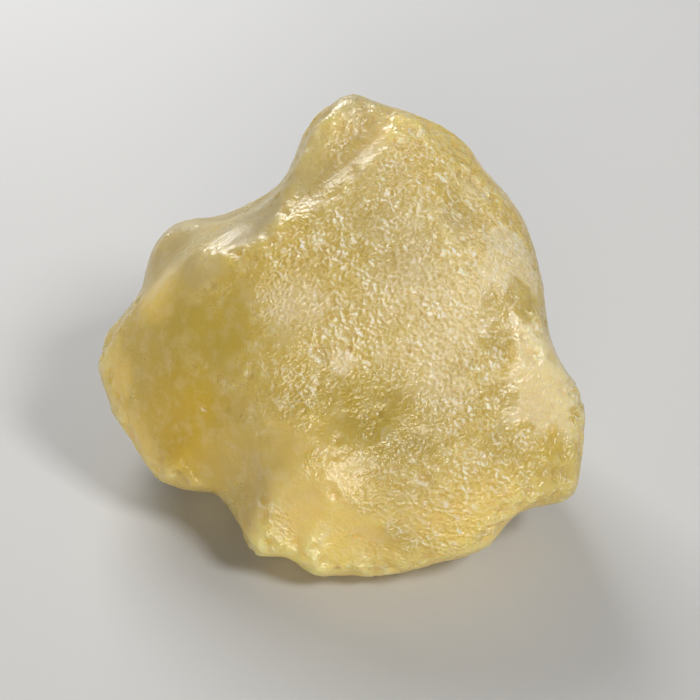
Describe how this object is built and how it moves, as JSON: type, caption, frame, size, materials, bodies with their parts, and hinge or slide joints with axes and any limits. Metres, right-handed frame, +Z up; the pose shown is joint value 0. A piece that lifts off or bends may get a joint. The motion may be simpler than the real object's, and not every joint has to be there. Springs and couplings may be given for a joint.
{
  "type": "libyan desert glass",
  "caption": "Wind-worn lump of translucent pale yellow natural glass with a broad pitted face, a blunt peak and a flat base to rest on.",
  "frame": {"origin": "middle of the bounding box's underside, on the flat base", "axes": "+Z up from the base, +X to the right of the broad face, +Y behind it"},
  "size_m": [0.041, 0.0328, 0.034],
  "materials": {
    "desert_glass": "translucent pale yellow silica glass, frosted and pitted by wind-blown sand"
  },
  "bodies": {
    "root": {"desert_glass": "desert_glass"}
  },
  "joints": []
}
